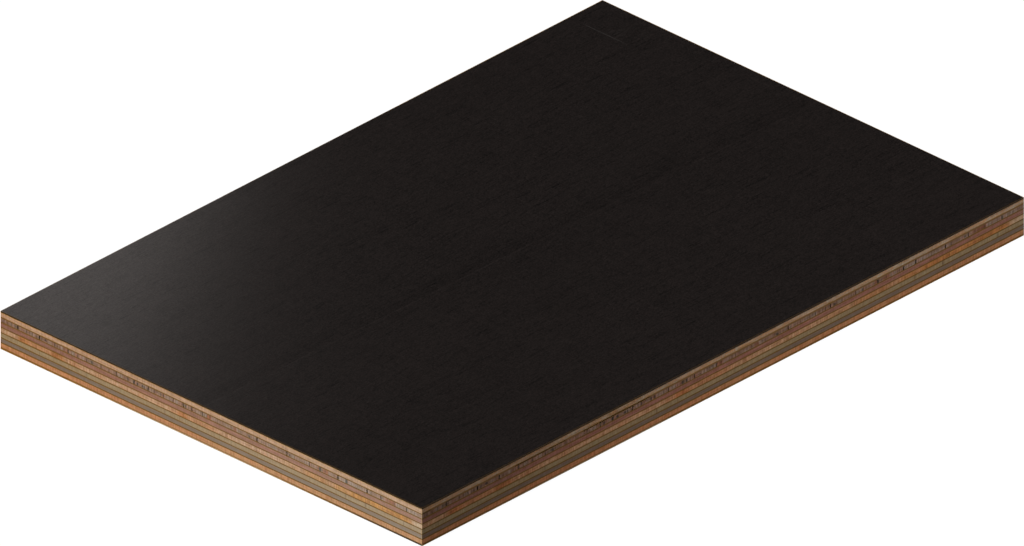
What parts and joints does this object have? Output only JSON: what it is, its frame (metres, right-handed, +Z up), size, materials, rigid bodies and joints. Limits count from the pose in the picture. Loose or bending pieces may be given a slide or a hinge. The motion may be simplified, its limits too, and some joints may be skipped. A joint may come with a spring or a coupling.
{
  "type": "film-faced plywood panel",
  "caption": "Rectangular sawn plywood panel of cross-laid veneers with dark glue lines, faced on both sides with a dark resin film.",
  "frame": {"origin": "centre of the back face, which lies on the ground", "axes": "+X along the panel's length, +Y along its width, +Z up through its thickness towards the face film"},
  "size_m": [0.3, 0.2, 0.015],
  "materials": {
    "resin_film": "dark brown-black phenolic film, satin, with faint wood grain showing through",
    "phenolic_glue": "dark brown glue-soaked wood, sawn",
    "pale_tan_veneer": "sawn edge of pale tan veneer",
    "grey_brown_veneer": "sawn edge of grey-brown veneer with dark ticks and core gaps",
    "pink_brown_veneer": "sawn edge of pink-brown veneer",
    "golden_tan_veneer": "sawn edge of tan veneer with orange blotches",
    "olive_beige_veneer": "sawn edge of olive-beige veneer",
    "slate_brown_veneer": "sawn edge of grey slate-brown veneer",
    "orange_tan_veneer": "sawn edge of orange-tan veneer"
  },
  "bodies": {
    "root": {"face_film": "resin_film", "face_film_glue": "phenolic_glue", "veneer_1_face": "pale_tan_veneer", "glue_line_1": "phenolic_glue", "veneer_2_crossband": "grey_brown_veneer", "glue_line_2": "phenolic_glue", "veneer_3_long": "pink_brown_veneer", "glue_line_3": "phenolic_glue", "veneer_4_crossband": "golden_tan_veneer", "glue_line_4": "phenolic_glue", "veneer_5_long": "olive_beige_veneer", "glue_line_5": "phenolic_glue", "veneer_6_crossband": "slate_brown_veneer", "glue_line_6": "phenolic_glue", "veneer_7_back": "orange_tan_veneer", "back_film_glue": "phenolic_glue", "back_film": "resin_film"}
  },
  "joints": []
}
